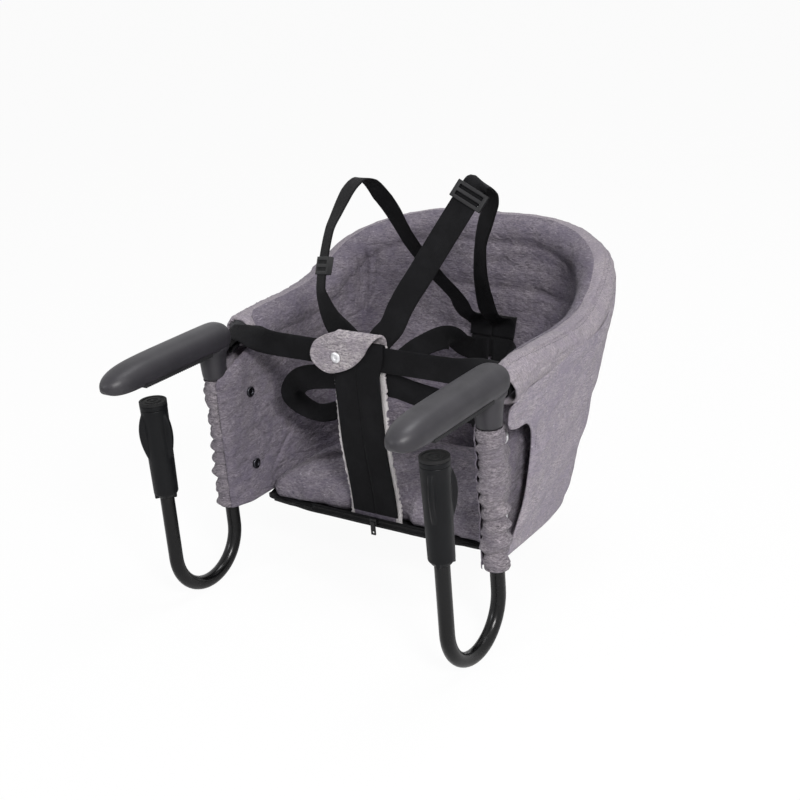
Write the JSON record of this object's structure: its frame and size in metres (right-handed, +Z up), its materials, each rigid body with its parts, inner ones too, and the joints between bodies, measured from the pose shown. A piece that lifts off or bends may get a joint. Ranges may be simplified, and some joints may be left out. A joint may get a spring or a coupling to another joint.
{
  "type": "hook-on table chair",
  "caption": "Fabric child seat with a padded rim that hangs from a table edge on two toothed arms, gripped by two swivelling hooks with screw clamps and a strap harness.",
  "frame": {"origin": "midway between the two arms, on the line of the two hook swivel axes, in the plane of the table top the grip teeth rest on", "axes": "+Z up, -Y forward towards the table, +X to the left of the seated child"},
  "size_m": [0.4156, 0.5178, 0.4608],
  "materials": {
    "grey_fabric": "grey melange woven, matt",
    "inner_fabric": "grey melange woven, padded and quilted",
    "black_fabric": "black woven, matt",
    "black_webbing": "black ribbed webbing",
    "soft_grip": "soft-touch dark grey",
    "toothed_rubber": "matt, ribbed",
    "black_tube": "satin black coat",
    "knob_plastic": "fine matt grain",
    "pad_rubber": "matt",
    "bare_steel": "zinc plated",
    "nylon": "natural, smooth",
    "foam": "open foam under the cloth",
    "board_plastic": "matt black",
    "silver": "bright plated",
    "zip_nylon": "satin coil on tape"
  },
  "bodies": {
    "seat": {"left_arm_cover": "soft_grip", "left_arm_core": "bare_steel", "left_socket_bush": "nylon", "left_arm_grip": "toothed_rubber", "left_grip_screw_front": "bare_steel", "left_grip_screw_rear": "bare_steel", "left_tube_sleeve": "grey_fabric", "left_upper_snap": "silver", "left_lower_snap": "silver", "right_arm_cover": "soft_grip", "right_arm_core": "bare_steel", "right_socket_bush": "nylon", "right_arm_grip": "toothed_rubber", "right_grip_screw_front": "bare_steel", "right_grip_screw_rear": "bare_steel", "right_tube_sleeve": "grey_fabric", "right_upper_snap": "silver", "right_lower_snap": "silver", "back_rail": "black_tube", "rail_foam": "foam", "rim_sleeve": "grey_fabric", "seat_liner": "inner_fabric", "outer_cover": "grey_fabric", "base_cover": "black_fabric", "seat_board": "board_plastic", "seat_cushion": "grey_fabric", "base_zip": "zip_nylon", "left_crotch_webbing": "black_webbing", "right_crotch_webbing": "black_webbing", "crotch_panel": "inner_fabric", "flap_root": "grey_fabric", "front_belt": "black_webbing", "harness_yoke": "black_fabric", "left_shoulder_strap": "black_webbing", "right_shoulder_strap": "black_webbing", "left_waist_strap": "black_webbing", "right_waist_strap": "black_webbing"},
    "left_hook": {"left_hook_tube": "black_tube", "left_hook_retainer": "bare_steel", "left_thread_rod": "bare_steel"},
    "left_pad": {"left_pad_carrier": "knob_plastic", "left_clamp_pad": "pad_rubber"},
    "left_knob": {"left_clamp_knob": "knob_plastic", "left_clamp_nut": "bare_steel"},
    "left_glide": {"left_strap_slider": "board_plastic"},
    "right_hook": {"right_hook_tube": "black_tube", "right_hook_retainer": "bare_steel", "right_thread_rod": "bare_steel"},
    "right_pad": {"right_pad_carrier": "knob_plastic", "right_clamp_pad": "pad_rubber"},
    "right_knob": {"right_clamp_knob": "knob_plastic", "right_clamp_nut": "bare_steel"},
    "right_glide": {"right_strap_slider": "board_plastic"},
    "flap": {"crotch_flap": "grey_fabric", "flap_snap": "silver"},
    "zip_pull": {"zip_slider": "nylon"}
  },
  "joints": [
    {"name": "left_hook_swivel", "type": "hinge", "parent": "seat", "child": "left_hook", "pos_m": [-0.182, 0, 0], "axis": [0, 0, 1], "range_deg": [0, 75]},
    {"name": "left_pad_lift", "type": "slide", "parent": "left_hook", "child": "left_pad", "axis": [0, 0, 1], "range_m": [-0.03, 0.005]},
    {"name": "left_knob_turn", "type": "hinge", "parent": "left_pad", "child": "left_knob", "pos_m": [-0.182, -0.101, 0], "axis": [0, 0, 1], "range_deg": [-2160, 360]},
    {"name": "right_hook_swivel", "type": "hinge", "parent": "seat", "child": "right_hook", "pos_m": [0.182, 0, 0], "axis": [0, 0, -1], "range_deg": [0, 75]},
    {"name": "right_pad_lift", "type": "slide", "parent": "right_hook", "child": "right_pad", "axis": [0, 0, 1], "range_m": [-0.03, 0.005]},
    {"name": "right_knob_turn", "type": "hinge", "parent": "right_pad", "child": "right_knob", "pos_m": [0.182, -0.101, 0], "axis": [0, 0, 1], "range_deg": [-2160, 360]},
    {"name": "left_glide_slide", "type": "slide", "parent": "seat", "child": "left_glide", "axis": [0, 0.3845, 0.9231], "range_m": [-0.012, 0.026]},
    {"name": "right_glide_slide", "type": "slide", "parent": "seat", "child": "right_glide", "axis": [0.3935, 0.4721, 0.7888], "range_m": [-0.08, 0]},
    {"name": "flap_lift", "type": "hinge", "parent": "seat", "child": "flap", "pos_m": [0, 0.0332, 0.0272], "axis": [-1, 0, 0], "range_deg": [0, 100]},
    {"name": "zip_travel", "type": "slide", "parent": "seat", "child": "zip_pull", "axis": [1, 0, 0], "range_m": [-0.08, 0.08]}
  ],
  "couplings": [
    {"joint": "left_pad_lift", "follows": "left_knob_turn", "m_per_rad": 0.000795},
    {"joint": "right_pad_lift", "follows": "right_knob_turn", "m_per_rad": 0.000795}
  ]
}
